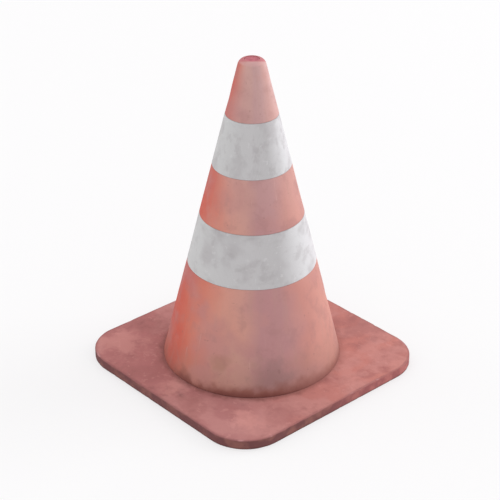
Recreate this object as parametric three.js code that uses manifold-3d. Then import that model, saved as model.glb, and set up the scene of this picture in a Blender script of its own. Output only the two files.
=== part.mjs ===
// A two-part traffic cone, 500 mm tall: a tapered shell with two slip-on reflective sleeves and a
// plug in its tip, pushed into the round socket of a heavy square base with low moulded feet.
// Millimetres, +Z up. The origin is on the ground, on the cone's axis.
import * as THREE from "three";
import { mergeVertices } from "three/addons/utils/BufferGeometryUtils.js";
import Module from "manifold-3d";

const wasm = await Module();
wasm.setup();

// Driving dimensions
const HEIGHT = 500; // ground to the rim of the tip
const BASE_SIDE = 385;
const BASE_CORNER_RADIUS = 66;
const BASE_THICKNESS = 15.2;
const FEET_HEIGHT = 0.8; // how far the feet hold the base off the ground
const FOOT_RADIUS = 136.8; // outside of the shell where it meets the base
const TIP_RADIUS = 18.6; // where the taper would reach the top, before the tip is rounded
const TIP_ROUND = 10.5;
const WALL = 4; // measured level, not square to the taper
const STRIPE = 79.4; // height of each sleeve, and of the shell between them
const LOWER_SLEEVE_BOTTOM = 178;

const GAP = 0.3; // between pieces that touch
const ROUND_SIDES = 72; // shared by everything on the cone's axis, so that gaps stay even
const FOOT_SIDES = 24;
const ARC_STEPS = 6;
const CUT_PAST = 5; // how far a cutting solid runs past the face that it cuts

// Levels and radii that follow from them
const BASE_TOP = FEET_HEIGHT + BASE_THICKNESS;
const TAPER = (FOOT_RADIUS - TIP_RADIUS) / (HEIGHT - BASE_TOP); // radius lost per mm of height
const TAPER_ANGLE = Math.atan(TAPER);
const UPPER_SLEEVE_BOTTOM = LOWER_SLEEVE_BOTTOM + 2 * STRIPE;

// The socket in the base, and the spigot under the shell that fits it
const SPIGOT_RADIUS = 133;
const SPIGOT_BORE = 129.9;
const SOCKET_FLOOR = 6; // the ledge that the spigot ends on
const BASE_BORE = 129.5;

// Sleeves, and the shallow seats that they lie in
const SEAT_DEPTH = 1.5;
const SLEEVE_PROUD = 0.15;

// Tip: a web across the top of the shell with a stepped bore, and a plug that fits it
const WEB = 5;
const PLUG_HEAD_RADIUS = 10.7;
const PLUG_HEAD = 2.4;
const PLUG_EDGE = 0.6; // chamfer round the plug's head and the end of its stem
const PLUG_SUNK = 0.8; // the plug's top lies this far below the tip's rim
const PLUG_STEM_RADIUS = 8.7;
const PLUG_STEM_BORE = 6.7;
const PLUG_STEM_BOTTOM = 481;
const COLLAR_RADIUS = 12.5;
const COLLAR_BOTTOM = 480;

// Ribs inside the shell that keep stacked cones apart
const RIBS = 6;
const RIB_PROUD = 8;
const RIB_WIDTH = 3;
const RIB_BOTTOM = 330;
const RIB_TOP = 440;
const RIB_ROOT = 1.5; // how far a rib reaches into the wall

// Low feet moulded under the base, one in each corner and one halfway along each side
const FOOT_TOP_RADIUS = 15;
const FOOT_END_RADIUS = 14;
const FOOT_ROOT = 2.5; // how far a foot reaches into the slab
const CORNER_FOOT_AT = 147; // both ways from the middle of the base
const SIDE_FOOT_AT = 162;

const EDGE_ROUND = 1.5; // rounding along the base's edges
const EDGE_STEPS = 3;
const CORNER_STEPS = 10;

const outerRadius = (z) => TIP_RADIUS + TAPER * (HEIGHT - z);
const innerRadius = (z) => outerRadius(z) - WALL;

const shellPlastic = plastic(0xd2695c, 0.55);
const basePlastic = plastic(0xa85a54, 0.75);
const sheeting = plastic(0xc9c8c6, 0.45);
const plugPlastic = plastic(0xb85a5e, 0.6);

function plastic(color, roughness) {
  return new THREE.MeshStandardMaterial({ color, roughness, metalness: 0 });
}

// A closed [radius, height] outline turned round the Z axis.
function turned(outline, sides = ROUND_SIDES) {
  const points = outline.map(([r, z]) => new THREE.Vector2(r, z));
  return new THREE.LatheGeometry(points, sides).rotateX(Math.PI / 2);
}

function solid(geometry) {
  const bare = geometry.clone();
  bare.deleteAttribute("normal");
  bare.deleteAttribute("uv");
  const merged = mergeVertices(bare, 1e-3);
  return new wasm.Manifold(
    new wasm.Mesh({
      numProp: 3,
      vertProperties: merged.attributes.position.array,
      triVerts: new Uint32Array(merged.index.array),
    }),
  );
}

function geometryOf(manifold) {
  const { vertProperties, triVerts } = manifold.getMesh();
  const geometry = new THREE.BufferGeometry();
  geometry.setAttribute("position", new THREE.BufferAttribute(vertProperties, 3));
  geometry.setIndex(new THREE.BufferAttribute(triVerts, 1));
  geometry.computeVertexNormals();
  return geometry;
}

// Points along an arc of an outline, with angles measured up from level.
function arc(centreRadius, centreZ, radius, from, to) {
  return Array.from({ length: ARC_STEPS + 1 }, (_, i) => {
    const angle = from + ((to - from) * i) / ARC_STEPS;
    return [centreRadius + radius * Math.cos(angle), centreZ + radius * Math.sin(angle)];
  });
}

// The base's outline, drawn inside its true size by the rounding that its bevel adds back.
function baseOutline() {
  const centre = BASE_SIDE / 2 - BASE_CORNER_RADIUS;
  const shape = new THREE.Shape();
  for (let quarter = 0; quarter < 4; quarter++) {
    const start = (quarter * Math.PI) / 2;
    const x = quarter === 0 || quarter === 3 ? centre : -centre;
    const y = quarter < 2 ? centre : -centre;
    shape.absarc(x, y, BASE_CORNER_RADIUS - EDGE_ROUND, start, start + Math.PI / 2);
  }
  return shape;
}

function footPlaces() {
  return [0, 1, 2, 3].flatMap((quarter) => {
    const angle = (quarter * Math.PI) / 2;
    const place = (x, y) => [
      x * Math.cos(angle) - y * Math.sin(angle),
      x * Math.sin(angle) + y * Math.cos(angle),
    ];
    return [place(SIDE_FOOT_AT, 0), place(CORNER_FOOT_AT, CORNER_FOOT_AT)];
  });
}

// The heavy base: a rounded square slab on moulded feet, with a stepped round socket through it.
function basePlate() {
  const slab = new THREE.ExtrudeGeometry(baseOutline(), {
    depth: BASE_THICKNESS - 2 * EDGE_ROUND,
    bevelThickness: EDGE_ROUND,
    bevelSize: EDGE_ROUND,
    bevelSegments: EDGE_STEPS,
    curveSegments: CORNER_STEPS,
  }).translate(0, 0, FEET_HEIGHT + EDGE_ROUND);
  const socket = turned([
    [0, FEET_HEIGHT - CUT_PAST],
    [BASE_BORE, FEET_HEIGHT - CUT_PAST],
    [BASE_BORE, SOCKET_FLOOR],
    [SPIGOT_RADIUS + GAP, SOCKET_FLOOR],
    [SPIGOT_RADIUS + GAP, BASE_TOP + CUT_PAST],
    [0, BASE_TOP + CUT_PAST],
  ]);
  const footOutline = [
    [0, 0],
    [FOOT_END_RADIUS, 0],
    [FOOT_TOP_RADIUS, FEET_HEIGHT],
    [FOOT_TOP_RADIUS, FEET_HEIGHT + FOOT_ROOT],
    [0, FEET_HEIGHT + FOOT_ROOT],
  ];
  let plate = solid(slab).subtract(solid(socket));
  for (const [x, y] of footPlaces())
    plate = plate.add(solid(turned(footOutline, FOOT_SIDES).translate(x, y, 0)));
  return geometryOf(plate);
}

// One sleeve's seat in the shell's outside, from the bottom up.
function seat(bottom) {
  const [low, high] = [bottom - GAP, bottom + STRIPE + GAP];
  return [
    [outerRadius(low), low],
    [outerRadius(low) - SEAT_DEPTH, low],
    [outerRadius(high) - SEAT_DEPTH, high],
    [outerRadius(high), high],
  ];
}

// One stacking rib, standing in the X-Z plane from the inner wall towards the axis.
function rib() {
  const side = new THREE.Shape([
    new THREE.Vector2(innerRadius(RIB_BOTTOM) + RIB_ROOT, RIB_BOTTOM),
    new THREE.Vector2(innerRadius(RIB_TOP) + RIB_ROOT, RIB_TOP),
    new THREE.Vector2(innerRadius(RIB_TOP) - RIB_PROUD, RIB_TOP),
    new THREE.Vector2(innerRadius(RIB_BOTTOM) - RIB_PROUD, RIB_BOTTOM + RIB_PROUD),
    new THREE.Vector2(innerRadius(RIB_BOTTOM), RIB_BOTTOM),
  ]);
  return new THREE.ExtrudeGeometry(side, { depth: RIB_WIDTH, bevelEnabled: false })
    .translate(0, 0, -RIB_WIDTH / 2)
    .rotateX(Math.PI / 2);
}

// The hollow tapered shell: a spigot and shoulder at the foot, two sleeve seats, a rounded tip
// closed by a bored web with a collar under it, and stacking ribs inside.
function coneShell() {
  const shoulder = BASE_TOP + GAP;
  const thickFootTop = BASE_TOP + (FOOT_RADIUS - WALL - SPIGOT_BORE) / TAPER;
  const roundZ = HEIGHT - TIP_ROUND;
  const roundRadius = outerRadius(roundZ) - TIP_ROUND / Math.cos(TAPER_ANGLE);
  const headBore = PLUG_HEAD_RADIUS + GAP;
  const headFloor = HEIGHT - PLUG_SUNK - PLUG_HEAD - GAP;
  const stemBore = PLUG_STEM_RADIUS + GAP;
  const webBottom = HEIGHT - WEB;
  const rimAngle = Math.acos((headBore - roundRadius) / TIP_ROUND);
  const outline = [
    [SPIGOT_BORE, SOCKET_FLOOR + GAP],
    [SPIGOT_RADIUS, SOCKET_FLOOR + GAP],
    [SPIGOT_RADIUS, shoulder],
    [outerRadius(shoulder), shoulder],
    ...seat(LOWER_SLEEVE_BOTTOM),
    ...seat(UPPER_SLEEVE_BOTTOM),
    ...arc(roundRadius, roundZ, TIP_ROUND, TAPER_ANGLE, rimAngle),
    [headBore, headFloor],
    [stemBore, headFloor],
    [stemBore, COLLAR_BOTTOM],
    [COLLAR_RADIUS, COLLAR_BOTTOM],
    [COLLAR_RADIUS, webBottom],
    [innerRadius(webBottom), webBottom],
    [SPIGOT_BORE, thickFootTop],
    [SPIGOT_BORE, SOCKET_FLOOR + GAP],
  ];
  let shell = solid(turned(outline));
  for (let i = 0; i < RIBS; i++)
    shell = shell.add(solid(rib().rotateZ((i * 2 * Math.PI) / RIBS)));
  return geometryOf(shell);
}

function sleeve(bottom) {
  const top = bottom + STRIPE;
  const back = SEAT_DEPTH - GAP;
  return turned([
    [outerRadius(bottom) - back, bottom],
    [outerRadius(bottom) + SLEEVE_PROUD, bottom],
    [outerRadius(top) + SLEEVE_PROUD, top],
    [outerRadius(top) - back, top],
    [outerRadius(bottom) - back, bottom],
  ]);
}

// A flat-headed plug with a tubular stem.
function tipPlug() {
  const top = HEIGHT - PLUG_SUNK;
  const underHead = top - PLUG_HEAD;
  return turned([
    [0, underHead],
    [PLUG_STEM_BORE, underHead],
    [PLUG_STEM_BORE, PLUG_STEM_BOTTOM],
    [PLUG_STEM_RADIUS - PLUG_EDGE, PLUG_STEM_BOTTOM],
    [PLUG_STEM_RADIUS, PLUG_STEM_BOTTOM + PLUG_EDGE],
    [PLUG_STEM_RADIUS, underHead],
    [PLUG_HEAD_RADIUS, underHead],
    [PLUG_HEAD_RADIUS, top - PLUG_EDGE],
    [PLUG_HEAD_RADIUS - PLUG_EDGE, top],
    [0, top],
  ]);
}

function piece(name, geometry, material) {
  const mesh = new THREE.Mesh(geometry, material);
  mesh.name = name;
  return mesh;
}

const lifting = new THREE.Group();
lifting.add(
  piece("cone_shell", coneShell(), shellPlastic),
  piece("lower_sleeve", sleeve(LOWER_SLEEVE_BOTTOM), sheeting),
  piece("upper_sleeve", sleeve(UPPER_SLEEVE_BOTTOM), sheeting.clone()),
  piece("tip_plug", tipPlug(), plugPlastic),
);

const trafficCone = new THREE.Group();
trafficCone.add(piece("base_plate", basePlate(), basePlastic), lifting);

export default trafficCone;
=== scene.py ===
import math
import random

import bpy
import numpy as np
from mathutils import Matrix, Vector, noise


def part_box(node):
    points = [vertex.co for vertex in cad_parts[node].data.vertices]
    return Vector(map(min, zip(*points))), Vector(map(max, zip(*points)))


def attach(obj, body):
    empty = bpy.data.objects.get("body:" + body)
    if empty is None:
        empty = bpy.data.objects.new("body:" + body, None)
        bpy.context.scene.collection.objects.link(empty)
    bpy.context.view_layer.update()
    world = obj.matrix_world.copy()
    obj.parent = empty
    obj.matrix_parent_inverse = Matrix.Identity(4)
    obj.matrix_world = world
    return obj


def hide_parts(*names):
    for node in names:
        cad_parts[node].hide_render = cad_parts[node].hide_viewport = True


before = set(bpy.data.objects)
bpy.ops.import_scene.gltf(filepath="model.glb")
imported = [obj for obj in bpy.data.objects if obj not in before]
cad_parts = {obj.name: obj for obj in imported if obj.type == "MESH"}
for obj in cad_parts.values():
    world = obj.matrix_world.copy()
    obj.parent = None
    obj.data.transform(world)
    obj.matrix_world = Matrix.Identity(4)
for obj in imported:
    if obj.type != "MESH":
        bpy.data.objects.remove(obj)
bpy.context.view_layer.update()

MM = 0.001

# What the frame gives: sizes of the base, the shell, its sleeves and its plug
BASE_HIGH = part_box("base_plate")[1]
SHELL_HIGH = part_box("cone_shell")[1]
PLUG_LOW, PLUG_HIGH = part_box("tip_plug")
SLEEVE_BOXES = {name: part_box(name) for name in ("lower_sleeve", "upper_sleeve")}
HEIGHT = SHELL_HIGH.z
BASE_HALF = BASE_HIGH.x
BASE_TOP = BASE_HIGH.z
PLUG_RADIUS = PLUG_HIGH.x
FOOT_RADIUS = SHELL_HIGH.x

# What it doesn't: details inside those sizes
GAP = 0.3 * MM  # between pieces that touch
TIP_RADIUS = 18.6 * MM  # where the taper would reach the top, before the tip is rounded
TIP_ROUND = 10.5 * MM
TAPER = (FOOT_RADIUS - TIP_RADIUS) / (HEIGHT - BASE_TOP - GAP)  # radius lost per height gained
TAPER_ANGLE = math.atan(TAPER)
WALL = 4 * MM
SPIGOT_RADIUS = 133 * MM
SPIGOT_BORE = 129.9 * MM
WEB = 5 * MM  # closes the shell's top round the plug
COLLAR_RADIUS = 12.5 * MM  # under the web, round the plug's stem
COLLAR_PAST_STEM = 1 * MM

RIBS = 6
RIB_BOTTOM = 330 * MM
RIB_TOP = 440 * MM
RIB_PROUD = 8 * MM
RIB_ROOT = 1.5 * MM  # how far a rib reaches into the wall
RIB_HALF_WIDTH = 1.5 * MM

SEAT_DEPTH = 1.5 * MM
SLEEVE_PROUD = 0.15 * MM
LAP_WIDTH = 10 * MM
LAP_LIFT = 0.35 * MM

PLUG_HEAD = 2.4 * MM
PLUG_STEM_RADIUS = 8.7 * MM
PLUG_STEM_BORE = 6.7 * MM
PLUG_DISH = 0.5 * MM

BASE_CORNER = 66 * MM
BASE_EDGE = 1.5 * MM
BASE_BORE = 129.5 * MM
SOCKET_RADIUS = SPIGOT_RADIUS + GAP
SOCKET_FLOOR = 6 * MM
SOCKET_LIP = 0.6 * MM
FEET_HEIGHT = 0.8 * MM
FEET_ROOT = 2 * MM  # how far a foot reaches into the slab
FEET_END_RADIUS = 14 * MM
FEET_TOP_RADIUS = 15 * MM
SIDE_FOOT_AT = 162 * MM
CORNER_FOOT_AT = 147 * MM  # both ways from the middle of the base

# The camera, and the two directions across its view that the weathering and the painted light and shade
# are laid out by
CAMERA_AZIMUTH = math.radians(48)
CAMERA_ELEVATION = math.radians(29)
CAMERA_DISTANCE = 2.3833
CAMERA_LENS = 114.08
CAMERA_TARGET_HEIGHT = 0.1913
CAMERA_TARGET_SHIFT = -0.0028
RIGHT = Vector((math.cos(CAMERA_AZIMUTH), math.sin(CAMERA_AZIMUTH), 0))
FRONT = Vector((math.sin(CAMERA_AZIMUTH), -math.cos(CAMERA_AZIMUTH), 0))
SEAM_ANGLE = math.atan2(-FRONT.y, -FRONT.x)  # seams face away from the camera

# The studio, in metres and watts
SOFTBOX_DISTANCE = 8
SOFTBOX_SIZE = 5.3
RIGHT_POWER = 341
LEFT_POWER = 100
FLOOR_REACH = 14
FLOOR_BEND = 4
WALL_TOP = 12

SHELL_SIDES = 180
BASE_SIDES = 360
PLUG_SIDES = 96
FEET_SIDES = 40
FLOOR_SIDES = 96

rng = random.Random(7)


def outer_radius(z):
    return TIP_RADIUS + TAPER * (HEIGHT - z)


def inner_radius(z):
    return outer_radius(z) - WALL


# ---------------------------------------------------------------- mesh building


def turns(sides):
    """Evenly spaced angles once round."""
    return np.linspace(0, 2 * math.pi, sides, endpoint=False)


def filleted(corners, steps=5):
    """A closed outline from (radius, height, fillet) corners, with each fillet as an arc."""
    points = []
    for i, (r, z, fillet) in enumerate(corners):
        here = np.array((r, z))
        before = np.array(corners[i - 1][:2])
        after = np.array(corners[(i + 1) % len(corners)][:2])
        if fillet == 0:
            points.append(here)
            continue
        inward = (before - here) / np.linalg.norm(before - here)
        outward = (after - here) / np.linalg.norm(after - here)
        half = math.acos(np.clip(inward @ outward, -1, 1)) / 2
        bisector = (inward + outward) / np.linalg.norm(inward + outward)
        centre = here + bisector * fillet / math.sin(half)
        start = here + inward * fillet / math.tan(half) - centre
        end = here + outward * fillet / math.tan(half) - centre
        turn = math.pi - 2 * half
        for step in range(steps + 1):
            share = step / steps
            spoke = math.sin((1 - share) * turn) * start + math.sin(share * turn) * end
            points.append(centre + spoke / math.sin(turn))
    return points


def spaced(points, longest):
    """The same closed outline with no step longer than longest."""
    result = []
    for here, after in zip(points, points[1:] + points[:1]):
        pieces = max(1, math.ceil(np.linalg.norm(after - here) / longest))
        result += [here + (after - here) * k / pieces for k in range(pieces)]
    return result


def mesh_of(name, points, faces):
    mesh = bpy.data.meshes.new(name)
    mesh.from_pydata(points, [], faces)
    return mesh


def ring_mesh(name, rings):
    """A closed mesh from rings of points: each ring joins the next, and the last the first."""
    count, sides = rings.shape[:2]
    index = np.arange(count * sides).reshape(count, sides)
    across = np.roll(index, -1, axis=1)
    faces = np.stack((index, across, np.roll(across, -1, axis=0), np.roll(index, -1, axis=0)), -1)
    return mesh_of(name, rings.reshape(-1, 3).tolist(), faces.reshape(-1, 4).tolist())


def revolved(outline, angles):
    """Rings of points made by turning a closed (radius, height) outline about the Z axis."""
    outline = np.array(outline)
    radius, height = outline[:, 0, None], outline[:, 1, None]
    level = np.ones_like(angles)
    return np.stack((radius * np.cos(angles), radius * np.sin(angles), height * level), -1)


def capped_mesh(name, outline, sides, x=0.0, y=0.0):
    """A closed mesh turned about a vertical line from an outline that starts and ends on it."""
    points = [(x, y, outline[0][1])]
    for r, z in outline[1:-1]:
        points += [(x + r * math.cos(turn), y + r * math.sin(turn), z) for turn in turns(sides)]
    points.append((x, y, outline[-1][1]))
    rows = len(outline) - 2
    last = len(points) - 1
    top = 1 + (rows - 1) * sides
    faces = []
    for k in range(sides):
        after = (k + 1) % sides
        faces.append([0, 1 + after, 1 + k])
        faces.append([top + k, top + after, last])
        for row in range(rows - 1):
            low = 1 + row * sides
            high = low + sides
            faces.append([low + k, low + after, high + after, high + k])
    return mesh_of(name, points, faces)


def finished(name, mesh, material, sharp_degrees=32):
    """The piece's object, with smooth shading between its crisp edges."""
    mesh.materials.append(material)
    mesh.shade_smooth()
    mesh.set_sharp_from_angle(angle=math.radians(sharp_degrees))
    piece = bpy.data.objects.new(name, mesh)
    bpy.context.scene.collection.objects.link(piece)
    return piece


def joined(mesh, others):
    """mesh with the closed meshes in others united to it."""
    scene = bpy.context.scene.collection
    whole = bpy.data.objects.new("whole", mesh)
    scene.objects.link(whole)
    tools = []
    for other in others:
        tool = bpy.data.objects.new("tool", other)
        scene.objects.link(tool)
        tools.append(tool)
        union = whole.modifiers.new("union", "BOOLEAN")
        union.operation = "UNION"
        union.solver = "EXACT"
        union.object = tool
    evaluated = whole.evaluated_get(bpy.context.evaluated_depsgraph_get())
    result = bpy.data.meshes.new_from_object(evaluated)
    for extra in [whole, *tools]:
        bpy.data.objects.remove(extra)
    return result


# ---------------------------------------------------------------- wear in the shapes


def smooth_step(value, low, high):
    share = np.clip((value - low) / (high - low), 0, 1)
    return share * share * (3 - 2 * share)


def noise_field(points, size, seed):
    """Smooth noise from -1 to 1 at each point, with lumps of that size."""
    shift = Vector((seed * 3.1, seed * 7.7, seed * 1.3))
    flat = points.reshape(-1, 3) / size
    values = [noise.noise(Vector(p) + shift) for p in flat]
    return np.array(values).reshape(points.shape[:-1])


def random_dent():
    """Where a dent lies, as an angle and a height, then its size and its depth."""
    return (
        rng.uniform(0, 2 * math.pi),
        rng.uniform(60, 460) * MM,
        rng.uniform(12, 30) * MM,
        rng.uniform(0.3, 0.9) * MM,
    )


DENTS = [random_dent() for _ in range(16)]


def worn_round(rings):
    """Pushes a turned surface in and out, as years of knocks and stacking leave a plastic cone."""
    angle = np.arctan2(rings[..., 1], rings[..., 0])
    radius = np.hypot(rings[..., 0], rings[..., 1])
    height = rings[..., 2]
    surface = outer_radius(height)
    on_cone = np.stack((surface * np.cos(angle), surface * np.sin(angle), height), -1)
    broad = 0.55 * MM * noise_field(on_cone, 110 * MM, 1)
    small = 0.18 * MM * noise_field(on_cone, 22 * MM, 2)
    push = broad + small
    for dent_angle, dent_height, size, depth in DENTS:
        at = outer_radius(dent_height)
        centre = np.array((at * math.cos(dent_angle), at * math.sin(dent_angle), dent_height))
        away = np.linalg.norm(on_cone - centre, axis=-1) / size
        push = push - depth * np.exp(-away * away * 2)
    free = smooth_step(height, BASE_TOP + 2 * MM, BASE_TOP + 40 * MM)
    free = free * (1 - smooth_step(height, HEIGHT - 40 * MM, HEIGHT - 20 * MM))
    scale = 1 + push * free / np.maximum(radius, 5 * MM)
    worn = rings.copy()
    worn[..., 0] *= scale
    worn[..., 1] *= scale
    return worn


# ---------------------------------------------------------------- pieces


def shell_outline():
    shoulder = BASE_TOP + GAP
    foot_bore_top = BASE_TOP + (FOOT_RADIUS - WALL - SPIGOT_BORE) / TAPER
    round_z = HEIGHT - TIP_ROUND
    round_r = outer_radius(round_z) - TIP_ROUND / math.cos(TAPER_ANGLE)
    head_bore = PLUG_RADIUS + GAP
    head_floor = PLUG_HIGH.z - PLUG_HEAD - GAP
    stem_bore = PLUG_STEM_RADIUS + GAP
    collar_bottom = PLUG_LOW.z - COLLAR_PAST_STEM
    web_bottom = HEIGHT - WEB
    corners = [
        (SPIGOT_BORE, SOCKET_FLOOR + GAP, 0.5 * MM),
        (SPIGOT_RADIUS, SOCKET_FLOOR + GAP, 0.8 * MM),
        (SPIGOT_RADIUS, shoulder, 0),
        (outer_radius(shoulder), shoulder, 0.7 * MM),
    ]
    for low, high in SLEEVE_BOXES.values():
        bottom, top = low.z - GAP, high.z + GAP
        corners += [
            (outer_radius(bottom), bottom, 0.25 * MM),
            (outer_radius(bottom) - SEAT_DEPTH, bottom, 0),
            (outer_radius(top) - SEAT_DEPTH, top, 0),
            (outer_radius(top), top, 0.25 * MM),
        ]
    rim_angle = math.acos((head_bore - round_r) / TIP_ROUND)
    for angle in np.linspace(TAPER_ANGLE, rim_angle, 9):
        corners.append((round_r + TIP_ROUND * math.cos(angle), round_z + TIP_ROUND * math.sin(angle), 0))
    corners += [
        (head_bore, head_floor, 0),
        (stem_bore, head_floor, 0.3 * MM),
        (stem_bore, collar_bottom, 0.3 * MM),
        (COLLAR_RADIUS, collar_bottom, 0.3 * MM),
        (COLLAR_RADIUS, web_bottom, 0.8 * MM),
        (inner_radius(web_bottom), web_bottom, 0.8 * MM),
        (SPIGOT_BORE, foot_bore_top, 6 * MM),
    ]
    return corners


def stacking_rib(angle):
    """A closed wedge that stands proud of the inner wall and reaches a little way into it."""
    side = [
        (inner_radius(RIB_BOTTOM) + RIB_ROOT, RIB_BOTTOM),
        (inner_radius(RIB_TOP) + RIB_ROOT, RIB_TOP),
        (inner_radius(RIB_TOP) - RIB_PROUD, RIB_TOP),
        (inner_radius(RIB_BOTTOM) - RIB_PROUD, RIB_BOTTOM + RIB_PROUD),
        (inner_radius(RIB_BOTTOM), RIB_BOTTOM),
    ]
    across = np.array((-math.sin(angle), math.cos(angle), 0)) * RIB_HALF_WIDTH
    middle = [np.array((r * math.cos(angle), r * math.sin(angle), z)) for r, z in side]
    points = [p + across for p in middle] + [p - across for p in middle]
    count = len(side)
    faces = [list(range(count)), list(range(2 * count - 1, count - 1, -1))]
    faces += [[(i + 1) % count, i, count + i, count + (i + 1) % count] for i in range(count)]
    return mesh_of("rib", [tuple(p) for p in points], faces)


def cone_shell(material):
    outline = spaced(filleted(shell_outline()), 5 * MM)
    rings = worn_round(revolved(outline, turns(SHELL_SIDES)))
    ribs = [stacking_rib(i * 2 * math.pi / RIBS) for i in range(RIBS)]
    return finished("shell", joined(ring_mesh("shell", rings), ribs), material)


def sleeve(name, node, material):
    """A collar of sheeting with a welded lap seam down its back."""
    low, high = SLEEVE_BOXES[node]
    bottom, top = low.z, high.z
    back = SEAT_DEPTH - GAP
    edge = 0.3 * MM
    corners = [
        (outer_radius(bottom) - back, bottom, edge),
        (outer_radius(bottom) + SLEEVE_PROUD, bottom, edge),
        (outer_radius(top) + SLEEVE_PROUD, top, edge),
        (outer_radius(top) - back, top, edge),
    ]
    outline = spaced(filleted(corners, 3), 3 * MM)

    middle_radius = outer_radius((bottom + top) / 2)
    half_lap = LAP_WIDTH / middle_radius / 2
    step = 0.3 * MM / middle_radius
    lap_edges = [SEAM_ANGLE - half_lap, SEAM_ANGLE + half_lap]
    extra = [edge_angle + side * step for edge_angle in lap_edges for side in (-1, 1)]
    angles = np.sort(np.concatenate((turns(SHELL_SIDES), np.array(extra) % (2 * math.pi))))
    rings = revolved(outline, angles)
    in_lap = np.abs((angles - SEAM_ANGLE + math.pi) % (2 * math.pi) - math.pi) < half_lap
    radius = np.hypot(rings[..., 0], rings[..., 1])
    outside = radius > outer_radius(rings[..., 2]) - back / 2
    lift = np.where(outside & in_lap[None, :], LAP_LIFT, 0)
    rings[..., 0] *= 1 + lift / radius
    rings[..., 1] *= 1 + lift / radius
    return finished(name, ring_mesh(name, worn_round(rings)), material)


def square_radius(angle, inset):
    """How far the base's rounded square, drawn in by inset, reaches from its middle at an angle."""
    half, corner = BASE_HALF - inset, BASE_CORNER - inset
    c, s = np.abs(np.cos(angle)), np.abs(np.sin(angle))
    straight = half / np.maximum(c, s)
    centre = half - corner
    along = centre * (c + s)
    arc = along + np.sqrt(np.maximum(along * along - 2 * centre * centre + corner * corner, 0))
    on_straight = straight * np.minimum(c, s) <= centre
    return np.where(on_straight, straight, arc)


def moulded_foot(x, y):
    """One low foot under the base, with a soft edge; its top lies inside the slab."""
    corners = [
        (0, 0, 0),
        (FEET_END_RADIUS, 0, 0.4 * MM),
        (FEET_TOP_RADIUS, FEET_HEIGHT, 0),
        (FEET_TOP_RADIUS, FEET_HEIGHT + FEET_ROOT, 0),
        (0, FEET_HEIGHT + FEET_ROOT, 0),
    ]
    return capped_mesh("foot", filleted(corners, 3), FEET_SIDES, x, y)


def feet_places():
    """One foot halfway along each side of the base, and one in each corner."""
    places = []
    for quarter in range(4):
        for reach, turn in ((SIDE_FOOT_AT, quarter), (CORNER_FOOT_AT * math.sqrt(2), quarter + 0.5)):
            angle = turn * math.pi / 2
            places.append((reach * math.cos(angle), reach * math.sin(angle)))
    return places


def slab_rings():
    """Rings that run out over the slab's top, round its edge, back underneath and up the socket."""
    angles = turns(BASE_SIDES)
    flat = np.ones_like(angles)
    rings = []

    def add(radius, z):
        rings.append(np.stack((radius * np.cos(angles), radius * np.sin(angles), z * flat), -1))

    add(SOCKET_RADIUS * flat, BASE_TOP - SOCKET_LIP)
    add((SOCKET_RADIUS + SOCKET_LIP * 0.3) * flat, BASE_TOP - SOCKET_LIP * 0.3)
    for k in range(25):
        share = k / 24
        start = (SOCKET_RADIUS + SOCKET_LIP) * flat
        add(start + (square_radius(angles, BASE_EDGE) - start) * share, BASE_TOP)
    for k in range(1, 7):
        turn = k * math.pi / 12
        inset = BASE_EDGE * (1 - math.sin(turn))
        add(square_radius(angles, inset), BASE_TOP - BASE_EDGE * (1 - math.cos(turn)))
    flank = BASE_TOP - FEET_HEIGHT - 2 * BASE_EDGE
    for k in range(1, 4):
        add(square_radius(angles, 0), BASE_TOP - BASE_EDGE - flank * k / 4)
    for k in range(7):
        turn = k * math.pi / 12
        inset = BASE_EDGE * (1 - math.cos(turn))
        add(square_radius(angles, inset), FEET_HEIGHT + BASE_EDGE * (1 - math.sin(turn)))
    for k in range(1, 15):
        outer = square_radius(angles, BASE_EDGE)
        add(outer + (BASE_BORE - outer) * k / 14, FEET_HEIGHT)
    add(BASE_BORE * flat, SOCKET_FLOOR)
    add(SOCKET_RADIUS * flat, SOCKET_FLOOR)
    return np.array(rings)


def worn_slab(rings):
    """The slab with a gently uneven top and small nicks along its rim."""
    angles = turns(BASE_SIDES)
    height = rings[..., 2]
    radius = np.hypot(rings[..., 0], rings[..., 1])
    upper = smooth_step(height, BASE_TOP - 4 * MM, BASE_TOP - 1 * MM)
    clear = smooth_step(radius, SOCKET_RADIUS + 6 * MM, SOCKET_RADIUS + 24 * MM)
    swell = 0.5 * MM * noise_field(rings, 55 * MM, 3) + 0.22 * MM * noise_field(rings, 12 * MM, 4)
    rings[..., 2] += np.minimum(swell, 0.3 * MM) * upper * clear
    rim = smooth_step(radius, square_radius(angles, 9 * MM), square_radius(angles, 1 * MM))
    nicks = np.maximum(noise_field(rings, 9 * MM, 5) - 0.25, 0) * 1.6 * MM
    nibble = 0.25 * MM * noise_field(rings, 30 * MM, 6) + nicks
    scale = 1 - np.maximum(nibble, -0.1 * MM) * rim / radius
    rings[..., 0] *= scale
    rings[..., 1] *= scale
    return rings


def base_plate(material):
    feet = [moulded_foot(x, y) for x, y in feet_places()]
    mesh = joined(ring_mesh("base", worn_slab(slab_rings())), feet)
    return finished("base", mesh, material, 40)


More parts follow.
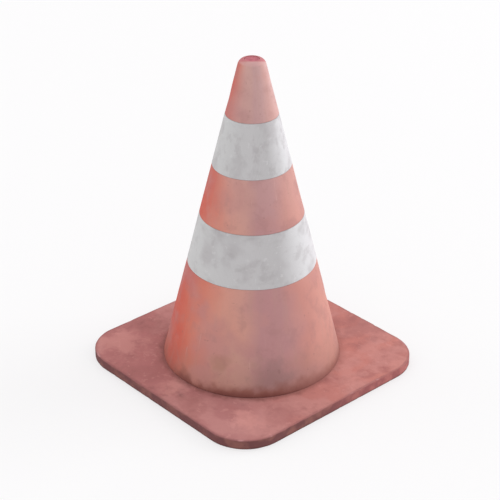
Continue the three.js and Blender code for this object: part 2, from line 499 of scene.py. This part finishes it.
def tip_plug(material):
    """The plug: a shallow dished head with a raised edge, on a tube."""
    top, bottom = PLUG_HIGH.z, PLUG_LOW.z
    under_head = top - PLUG_HEAD
    corners = [
        (0, under_head, 0),
        (PLUG_STEM_BORE, under_head, 0.5 * MM),
        (PLUG_STEM_BORE, bottom, 0.4 * MM),
        (PLUG_STEM_RADIUS, bottom, 0.6 * MM),
        (PLUG_STEM_RADIUS, under_head, 0.3 * MM),
        (PLUG_RADIUS, under_head, 0.3 * MM),
        (PLUG_RADIUS, top, 0.6 * MM),
        (PLUG_RADIUS - 1.8 * MM, top, 0.3 * MM),
        (PLUG_RADIUS - 2.2 * MM, top - PLUG_DISH, 0.3 * MM),
        (1.4 * MM, top - PLUG_DISH, 0.2 * MM),
        (1.2 * MM, top - 0.1 * MM, 0.2 * MM),
        (0, top - 0.1 * MM, 0),
    ]
    return finished("plug", capped_mesh("plug", filleted(corners, 3), PLUG_SIDES), material)


# ---------------------------------------------------------------- materials


class Shader:
    """One procedural material, built up by calls that return output sockets."""

    def __init__(self, name):
        self.material = bpy.data.materials.new(name)
        self.material.use_nodes = True
        self.tree = self.material.node_tree
        self.tree.nodes.clear()
        self.place = self.node("ShaderNodeTexCoord").outputs["Object"]
        split = self.node("ShaderNodeSeparateXYZ", {0: self.place})
        self.x, self.y, self.z = split.outputs

    def node(self, kind, inputs=None, **settings):
        made = self.tree.nodes.new(kind)
        for key, value in settings.items():
            setattr(made, key, value)
        for socket, value in (inputs or {}).items():
            if isinstance(value, bpy.types.NodeSocket):
                self.tree.links.new(value, made.inputs[socket])
            else:
                made.inputs[socket].default_value = value
        return made

    # Numbers

    def calc(self, operation, *values):
        return self.node("ShaderNodeMath", dict(enumerate(values)), operation=operation).outputs[0]

    def add(self, first, second):
        return self.calc("ADD", first, second)

    def times(self, first, second):
        return self.calc("MULTIPLY", first, second)

    def scaled(self, value, scale, start):
        """start where value is 0, and scale more where it is 1."""
        return self.calc("MULTIPLY_ADD", value, scale, start)

    def swing(self, value, size):
        """A value that lies around 0.5, as an offset to either side of nothing."""
        return self.times(self.calc("SUBTRACT", value, 0.5), size)

    def fade(self, value, low, high):
        """0 where value is at low, 1 where it is at high, smooth between; low may be above high."""
        settings = {"Value": value, "From Min": low, "From Max": high}
        return self.node("ShaderNodeMapRange", settings, interpolation_type="SMOOTHSTEP").outputs[0]

    def spread(self, value, low, high):
        """low where value is 0, high where it is 1."""
        settings = {"Value": value, "To Min": low, "To Max": high}
        return self.node("ShaderNodeMapRange", settings).outputs[0]

    def noise(self, size, detail=3.0, rough=0.55, place=None):
        """Noise around 0.5, with lumps of about that size."""
        settings = {"Vector": place or self.place, "Scale": 1 / size, "Detail": detail, "Roughness": rough}
        return self.node("ShaderNodeTexNoise", settings).outputs["Fac"]

    # Colours

    def mix(self, share, first, second):
        """Colours mixed by share: 0 gives first, 1 gives second."""
        return self.node("ShaderNodeMix", {0: share, 6: first, 7: second}, data_type="RGBA").outputs[2]

    def stain(self, base, mask, strength, tint):
        """base with tint over it, at that strength where mask is 1."""
        return self.mix(self.times(mask, strength), base, tint)

    def ramp(self, value, stops):
        made = self.node("ShaderNodeValToRGB", {0: value})
        elements = made.color_ramp.elements
        while len(elements) < len(stops):
            elements.new(1)
        for element, (position, tint) in zip(elements, stops):
            element.position = position
            element.color = tint
        return made.outputs[0]

    # Places

    def along(self, direction):
        """How far a point lies from the axis in a level direction."""
        return self.add(self.times(self.x, direction.x), self.times(self.y, direction.y))

    def radius(self):
        squares = self.add(self.calc("POWER", self.x, 2), self.calc("POWER", self.y, 2))
        return self.calc("SQRT", squares)

    def safe_radius(self):
        """The radius, kept off nothing so that it can divide."""
        return self.calc("MAXIMUM", self.radius(), 1 * MM)

    def across(self):
        """-1 on the side to the camera's left, 1 on the side to its right, by the way a point faces."""
        return self.calc("DIVIDE", self.along(RIGHT), self.safe_radius())

    def around(self, width, height):
        """A place on the turned surface, for marks stretched by width around it and by height up it."""
        radius = self.safe_radius()
        level = [self.calc("DIVIDE", self.times(axis, width), radius) for axis in (self.x, self.y)]
        inputs = {0: level[0], 1: level[1], 2: self.times(self.z, height)}
        return self.node("ShaderNodeCombineXYZ", inputs).outputs[0]

    def warped(self, size, reach):
        """Each point's place, pushed level by up to reach in lumps of that size."""
        settings = {"Vector": self.place, "Scale": 1 / size, "Detail": 2.0}
        push = self.node("ShaderNodeTexNoise", settings).outputs["Color"]
        inputs = {0: push, 1: (reach, reach, 0.0), 2: self.place}
        return self.node("ShaderNodeVectorMath", inputs, operation="MULTIPLY_ADD").outputs[0]

    def smudge(self, place, size, ragged):
        """1 at a place, fading to 0 at about size from it, with an uneven outline."""
        inputs = {0: self.place, 1: place}
        away = self.node("ShaderNodeVectorMath", inputs, operation="DISTANCE").outputs["Value"]
        uneven = self.scaled(self.calc("SUBTRACT", ragged, 0.5), size * 2.6, away)
        return self.fade(uneven, size * 1.15, size * 0.25)

    def slab_distance(self):
        """How far a point is outside the base's rounded square, seen from above."""
        centre = BASE_HALF - BASE_CORNER
        squares = []
        for axis in (self.x, self.y):
            past = self.calc("MAXIMUM", self.calc("SUBTRACT", self.calc("ABSOLUTE", axis), centre), 0.0)
            squares.append(self.calc("POWER", past, 2))
        return self.calc("SUBTRACT", self.calc("SQRT", self.add(*squares)), BASE_CORNER)

    def finish(self, tint, roughness, bump, depth, specular):
        inputs = {"Height": bump, "Distance": depth, "Strength": 1.0}
        normal = self.node("ShaderNodeBump", inputs).outputs[0]
        surface = self.node("ShaderNodeBsdfPrincipled", {
            "Base Color": tint, "Roughness": roughness, "Normal": normal, "Specular IOR Level": specular,
        })
        self.node("ShaderNodeOutputMaterial", {0: surface.outputs[0]})
        return self.material


def linear(value):
    share = value / 255
    return share / 12.92 if share < 0.0404 else ((share + 0.055) / 1.055) ** 2.4


def colour(red, green, blue):
    """A linear colour from the 0 to 255 values that a screen shows."""
    return (linear(red), linear(green), linear(blue), 1.0)


def shell_material():
    s = Shader("weathered shell plastic")
    wobble = s.swing(s.noise(70 * MM, 2), 0.45)
    side = s.scaled(s.add(s.across(), wobble), 0.5, 0.5)

    # Painted light round the cone: deep red at the left edge, a pale painted sheen across the front and
    # lighter on the lit side to the camera's right; faded most towards the tip, except at the left edge
    body = s.ramp(side, [
        (0.0, colour(192, 82, 66)),
        (0.13, colour(199, 116, 98)),
        (0.3, colour(204, 144, 129)),
        (0.44, colour(199, 146, 134)),
        (0.54, colour(181, 133, 133)),
        (0.7, colour(177, 130, 130)),
        (0.84, colour(188, 130, 121)),
        (1.0, colour(202, 142, 130)),
    ])
    bleached_and_sheen = s.times(s.fade(s.z, 150 * MM, HEIGHT), s.fade(side, -0.1, 0.35))
    body = s.stain(body, bleached_and_sheen, 0.62, colour(198, 164, 160))
    # Painted highlight: a pale strip up the lit right edge near the top
    right_edge_painted_highlight = s.times(s.fade(s.z, 360 * MM, 470 * MM), s.fade(side, 0.83, 1.0))
    body = s.stain(body, right_edge_painted_highlight, 0.6, colour(214, 178, 176))

    # Blotches, from broad clouds down to grain
    worn = s.fade(s.noise(45 * MM, 3, 0.6), 0.5, 0.66)
    body = s.stain(body, worn, 0.25, colour(196, 140, 130))
    streaks = s.fade(s.noise(14 * MM, 3, place=s.around(0.1, 0.12)), 0.5, 0.75)
    body = s.stain(body, streaks, 0.2, colour(176, 142, 128))
    clouds = s.fade(s.noise(90 * MM, 3, 0.5), 0.45, 0.65)
    body = s.stain(body, clouds, 0.4, colour(166, 120, 124))
    blotches = s.noise(30 * MM, 4, 0.6)
    body = s.stain(body, s.fade(blotches, 0.52, 0.7), 0.3, colour(158, 116, 114))
    grain = s.fade(s.noise(4 * MM, 3, 0.6), 0.5, 0.8)
    body = s.stain(body, grain, 0.12, colour(150, 108, 102))

    # Dirt splashed up from the ground, and the lit side to the camera's right, which is left lighter along
    # the foot as painted light
    lit_side = s.fade(side, 0.6, 0.86)
    fine = s.noise(24 * MM, 4, 0.55)
    ragged = s.swing(fine, 34 * MM)
    broad = s.swing(s.noise(48 * MM, 2), 44 * MM)
    splash = s.add(s.z, s.add(ragged, broad))
    soil = s.times(s.fade(splash, 85 * MM, 22 * MM), s.scaled(lit_side, 0.1, 0.4))
    body = s.mix(soil, body, colour(162, 122, 112))
    tan = s.smudge((78 * MM, -98 * MM, 50 * MM), 42 * MM, fine)
    body = s.stain(body, tan, 0.4, colour(200, 156, 138))
    grey = s.smudge((114 * MM, -62 * MM, 42 * MM), 34 * MM, fine)
    body = s.stain(body, grey, 0.5, colour(144, 114, 112))
    spot = s.smudge((57 * MM, -111 * MM, 66 * MM), 17 * MM, fine)
    body = s.stain(body, spot, 0.35, colour(150, 104, 86))

    # Dirt caked along the foot with painted shade over it, darkest as painted shade in the seam against
    # the base, and both lighter on the lit side to the camera's right
    caked_and_shaded = s.times(s.scaled(lit_side, -0.4, 0.88), s.fade(side, -0.1, 0.2))
    creep = s.scaled(ragged, 0.8, s.scaled(broad, 0.45, s.z))
    foot_dirt_and_shade = s.times(s.fade(creep, 38 * MM, 23 * MM), caked_and_shaded)
    body = s.mix(foot_dirt_and_shade, body, colour(142, 90, 80))
    painted_seam_shade = s.fade(s.scaled(s.calc("SUBTRACT", fine, 0.5), 18 * MM, s.z), 27 * MM, 16 * MM)
    body = s.mix(s.times(painted_seam_shade, caked_and_shaded), body, colour(124, 72, 66))

    # Upright scratches and small specks
    scratch = s.fade(s.noise(2 * MM, 2, 0.4, place=s.around(0.08, 0.05)), 0.66, 0.74)
    patchy = s.fade(s.noise(60 * MM, 2), 0.5, 0.62)
    scratch = s.times(s.times(scratch, patchy), s.fade(s.z, 40 * MM, 80 * MM))
    body = s.stain(body, scratch, 0.25, colour(214, 176, 168))
    specks = s.fade(s.noise(8 * MM, 2, 0.5), 0.69, 0.77)
    body = s.stain(body, specks, 0.3, colour(128, 96, 90))

    # The inside, which the sun hasn't reached
    surface = s.scaled(s.z, -TAPER, FOOT_RADIUS + TAPER * BASE_TOP)
    inside = s.fade(s.calc("SUBTRACT", s.radius(), surface), -2 * MM, -3 * MM)
    below_round = s.fade(s.z, HEIGHT - TIP_ROUND, HEIGHT - 1.3 * TIP_ROUND)
    inner = s.mix(s.fade(blotches, 0.42, 0.62), colour(172, 74, 58), colour(150, 66, 54))
    body = s.mix(s.times(inside, below_round), body, inner)

    # The rounded rim: a painted highlight, pale in front, and painted shade, redder, on the upward faces
    # behind the level of the plug
    rim = s.fade(s.z, HEIGHT - 6 * MM, HEIGHT - 2.5 * MM)
    body = s.stain(body, rim, 0.6, colour(208, 162, 160))
    seen_height = s.scaled(s.along(FRONT), -0.42, s.z)
    crown_painted_shade = s.fade(seen_height, HEIGHT - 6 * MM, HEIGHT - 3.6 * MM)
    body = s.stain(body, crown_painted_shade, 0.85, colour(192, 114, 120))

    bump = s.add(s.noise(1.1 * MM, 2), s.times(scratch, -0.8))
    return s.finish(body, s.spread(blotches, 0.55, 0.85), bump, 0.06 * MM, 0.2)


def sleeve_material():
    s = Shader("dirty reflective sheeting")
    side = s.scaled(s.across(), 0.5, 0.5)
    # Painted light: the sheeting is lighter on the lit side to the camera's right, with a darker band just
    # before it
    body = s.ramp(side, [
        (0.0, colour(190, 190, 190)),
        (0.5, colour(192, 190, 191)),
        (0.72, colour(181, 179, 180)),
        (0.92, colour(203, 202, 204)),
        (1.0, colour(208, 206, 209)),
    ])

    # Grey dirt, upright smears and cleaner chips
    clouds = s.fade(s.noise(50 * MM, 3, 0.5), 0.45, 0.62)
    body = s.stain(body, clouds, 0.5, colour(166, 161, 163))
    blotches = s.noise(20 * MM, 4, 0.6, place=s.around(0.06, 0.8))
    body = s.stain(body, s.fade(blotches, 0.52, 0.68), 0.35, colour(156, 150, 152))
    chips = s.fade(s.noise(9 * MM, 3, 0.6), 0.62, 0.68)
    body = s.stain(body, chips, 0.35, colour(206, 205, 206))
    smears = s.fade(s.noise(16 * MM, 3, place=s.around(0.04, 1.0)), 0.55, 0.75)
    body = s.stain(body, smears, 0.2, colour(152, 148, 148))

    # The sheeting's own fine cells
    settings = {"Vector": s.place, "Scale": 1 / (2.6 * MM), "Randomness": 0.15}
    voronoi = s.node("ShaderNodeTexVoronoi", settings, feature="DISTANCE_TO_EDGE")
    cells = voronoi.outputs["Distance"]
    body = s.stain(body, s.fade(cells, 0.08, 0.0), 0.08, colour(140, 138, 140))
    bump = s.add(s.fade(cells, 0.0, 0.12), s.noise(3 * MM, 3))
    return s.finish(body, s.spread(blotches, 0.4, 0.7), bump, 0.03 * MM, 0.3)


# Soft patches on the base's top, as (x, y, size) in mm
RUBBED_PLACES = [(-148, -142, 46), (153, 140, 58), (157, 54, 40), (142, -136, 30), (0, -160, 26)]
DIRTY_PLACES = [(66, 172, 52), (160, -84, 34), (62, -166, 30), (-160, -70, 34), (-150, 150, 44)]


def base_material():
    s = Shader("worn rubber compound")
    side = s.scaled(s.across(), 0.5, 0.5)
    # Partly painted shade: the top's red is darker than the shell's, also as shade on a face turned up;
    # and painted light makes it lighter on the lit side to the camera's right
    body = s.ramp(side, [
        (0.0, colour(180, 116, 114)),
        (0.45, colour(174, 117, 115)),
        (0.75, colour(190, 124, 117)),
        (1.0, colour(200, 130, 121)),
    ])

    # Paler and darker patches over the whole slab, then the listed ones
    warped = s.warped(30 * MM, 20 * MM)
    patches = s.noise(64 * MM, 1.5, 0.45, place=warped)
    body = s.stain(body, s.fade(patches, 0.5, 0.6), 0.45, colour(198, 142, 137))
    body = s.stain(body, s.fade(patches, 0.47, 0.37), 0.5, colour(166, 106, 104))
    stains = s.noise(28 * MM, 2, 0.5, place=warped)
    body = s.stain(body, s.fade(stains, 0.54, 0.68), 0.4, colour(164, 106, 102))
    grain = s.noise(5 * MM, 4, 0.65)
    body = s.stain(body, s.fade(grain, 0.5, 0.75), 0.15, colour(156, 104, 100))
    uneven = s.noise(24 * MM, 3, 0.6)
    for places, strength, tint in [
        (RUBBED_PLACES, 0.6, colour(208, 146, 139)),
        (DIRTY_PLACES, 0.5, colour(164, 106, 103)),
    ]:
        for x, y, size in places:
            patch = s.smudge((x * MM, y * MM, BASE_TOP), size * MM, uneven)
            body = s.stain(body, patch, strength, tint)
    rubbed = s.fade(s.noise(11 * MM, 3, 0.6, place=warped), 0.6, 0.68)
    body = s.stain(body, rubbed, 0.25, colour(212, 152, 146))

    # Dirt and painted contact shadow in a ring round the cone's foot, darkest on the shaded side to the
    # camera's left
    fine = s.noise(13 * MM, 3, 0.6)
    ragged = s.swing(fine, 20 * MM)
    reach = s.add(s.radius(), ragged)
    foot_dirt_and_shade = s.times(s.fade(reach, FOOT_RADIUS + 13 * MM, FOOT_RADIUS), s.fade(side, 1.3, 0.5))
    body = s.stain(body, foot_dirt_and_shade, 0.7, colour(140, 88, 82))

    # The rim, darker along its edge, with pale scuffs
    outside = s.slab_distance()
    rim = s.fade(s.add(outside, s.times(ragged, 0.3)), -5 * MM, 0.5 * MM)
    body = s.stain(body, rim, 0.6, colour(128, 78, 79))
    pale = s.times(s.fade(outside, -5 * MM, -1 * MM), s.fade(s.noise(26 * MM, 3), 0.54, 0.64))
    body = s.stain(body, pale, 0.6, colour(204, 150, 150))

    # The flank: darker than the top as painted shade, in shaded and lit copies by side, with a painted
    # contact shadow darker towards the ground; and the underside
    level = s.scaled(s.calc("SUBTRACT", fine, 0.5), 2 * MM, s.z)
    flank = s.fade(level, BASE_TOP, BASE_TOP - 1.6 * MM)
    tone = s.fade(s.noise(20 * MM, 3), 0.4, 0.65)
    shaded = s.mix(tone, colour(108, 66, 66), colour(130, 84, 78))
    lit = s.mix(tone, colour(146, 84, 84), colour(168, 102, 98))
    flank_tone_and_painted_shade = s.mix(s.fade(side, 0.7, 0.98), shaded, lit)
    flank_tone_and_painted_shade = s.stain(flank_tone_and_painted_shade, s.fade(level, 5 * MM, 1.5 * MM), 0.7, colour(84, 48, 44))
    body = s.mix(flank, body, flank_tone_and_painted_shade)
    under = s.fade(s.z, FEET_HEIGHT + 0.6 * MM, FEET_HEIGHT)
    under_tint = s.mix(s.fade(stains, 0.4, 0.62), colour(82, 51, 49), colour(104, 68, 63))
    body = s.mix(under, body, under_tint)

    bump = s.add(s.noise(1.6 * MM, 3), s.times(rubbed, 0.5))
    return s.finish(body, s.spread(grain, 0.65, 0.92), bump, 0.15 * MM, 0.2)


def plug_material():
    s = Shader("plug plastic")
    tone = s.noise(7 * MM, 3)
    # Painted shade: the plug is a darker, redder pink than the shell, for a top that faces up
    body = s.mix(s.fade(tone, 0.4, 0.65), colour(194, 112, 122), colour(184, 104, 114))
    rim = s.fade(s.radius(), 8.2 * MM, 9.2 * MM)
    body = s.stain(body, rim, 0.4, colour(198, 130, 134))
    return s.finish(body, s.spread(tone, 0.55, 0.75), s.noise(0.9 * MM, 2), 0.05 * MM, 0.2)


def floor_material():
    s = Shader("pale floor")
    surface = s.node("ShaderNodeBsdfPrincipled", {
        "Base Color": (0.3, 0.3, 0.3, 1), "Roughness": 0.9, "Specular IOR Level": 0.0,
        "Emission Color": (1, 0.992, 1, 1), "Emission Strength": 0.66,
    })
    s.node("ShaderNodeOutputMaterial", {0: surface.outputs[0]})
    return s.material


# ---------------------------------------------------------------- studio


def point_at(thing, target):
    thing.rotation_euler = (Vector(target) - thing.location).to_track_quat("-Z", "Y").to_euler()


def camera():
    target = Vector((0, 0, CAMERA_TARGET_HEIGHT)) + RIGHT * CAMERA_TARGET_SHIFT
    back = FRONT * math.cos(CAMERA_ELEVATION) + Vector((0, 0, math.sin(CAMERA_ELEVATION)))
    data = bpy.data.cameras.new("camera")
    data.lens = CAMERA_LENS
    data.sensor_width = 36
    data.clip_end = 50
    taker = bpy.data.objects.new("camera", data)
    taker.location = target + back * CAMERA_DISTANCE
    point_at(taker, target)
    bpy.context.scene.collection.objects.link(taker)
    bpy.context.scene.camera = taker


def softbox(name, side, power):
    """A large square light to one side of the cone, a little behind it and above it."""
    data = bpy.data.lights.new(name, "AREA")
    data.shape = "SQUARE"
    data.size = SOFTBOX_SIZE
    data.energy = power
    light = bpy.data.objects.new(name, data)
    light.location = (side - 0.3 * FRONT + Vector((0, 0, 0.35))).normalized() * SOFTBOX_DISTANCE
    point_at(light, (0, 0, 0.2))
    bpy.context.scene.collection.objects.link(light)


def floor_mesh():
    """A wide round floor, just under the feet, that curves up into a wall far behind the object."""
    level = -0.1 * MM
    outline = [
        (FLOOR_REACH + FLOOR_BEND * math.sin(turn), level + FLOOR_BEND * (1 - math.cos(turn)))
        for turn in np.linspace(0, math.pi / 2, 13)
    ]
    outline.append((FLOOR_REACH + FLOOR_BEND, WALL_TOP))
    points = [(0, 0, level)]
    for r, z in outline:
        points += [(r * math.cos(turn), r * math.sin(turn), z) for turn in turns(FLOOR_SIDES)]
    faces = []
    for k in range(FLOOR_SIDES):
        after = (k + 1) % FLOOR_SIDES
        faces.append([0, 1 + k, 1 + after])
        for row in range(len(outline) - 1):
            low = 1 + row * FLOOR_SIDES
            high = low + FLOOR_SIDES
            faces.append([low + k, high + k, high + after, low + after])
    return mesh_of("floor", points, faces)


def studio():
    world = bpy.data.worlds.new("studio")
    bpy.context.scene.world = world
    world.use_nodes = True
    background = world.node_tree.nodes["Background"]
    background.inputs["Color"].default_value = (1, 0.995, 1, 1)
    background.inputs["Strength"].default_value = 0.86
    softbox("right", RIGHT, RIGHT_POWER)
    softbox("left", -RIGHT, LEFT_POWER)
    mesh = floor_mesh()
    mesh.materials.append(floor_material())
    mesh.shade_smooth()
    floor = bpy.data.objects.new("floor", mesh)
    bpy.context.scene.collection.objects.link(floor)
    bpy.context.scene.view_settings.view_transform = "Standard"


camera()
studio()

sheeting = sleeve_material()
for piece, body, node, slot in [
    (base_plate(base_material()), "base", "base_plate", "base_compound"),
    (cone_shell(shell_material()), "cone", "cone_shell", "shell_plastic"),
    (sleeve("lower_collar", "lower_sleeve", sheeting), "cone", "lower_sleeve", "reflective_sheeting"),
    (sleeve("upper_collar", "upper_sleeve", sheeting), "cone", "upper_sleeve", "reflective_sheeting"),
    (tip_plug(plug_material()), "plug", "tip_plug", "plug_plastic"),
]:
    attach(piece, body)
    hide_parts(node)
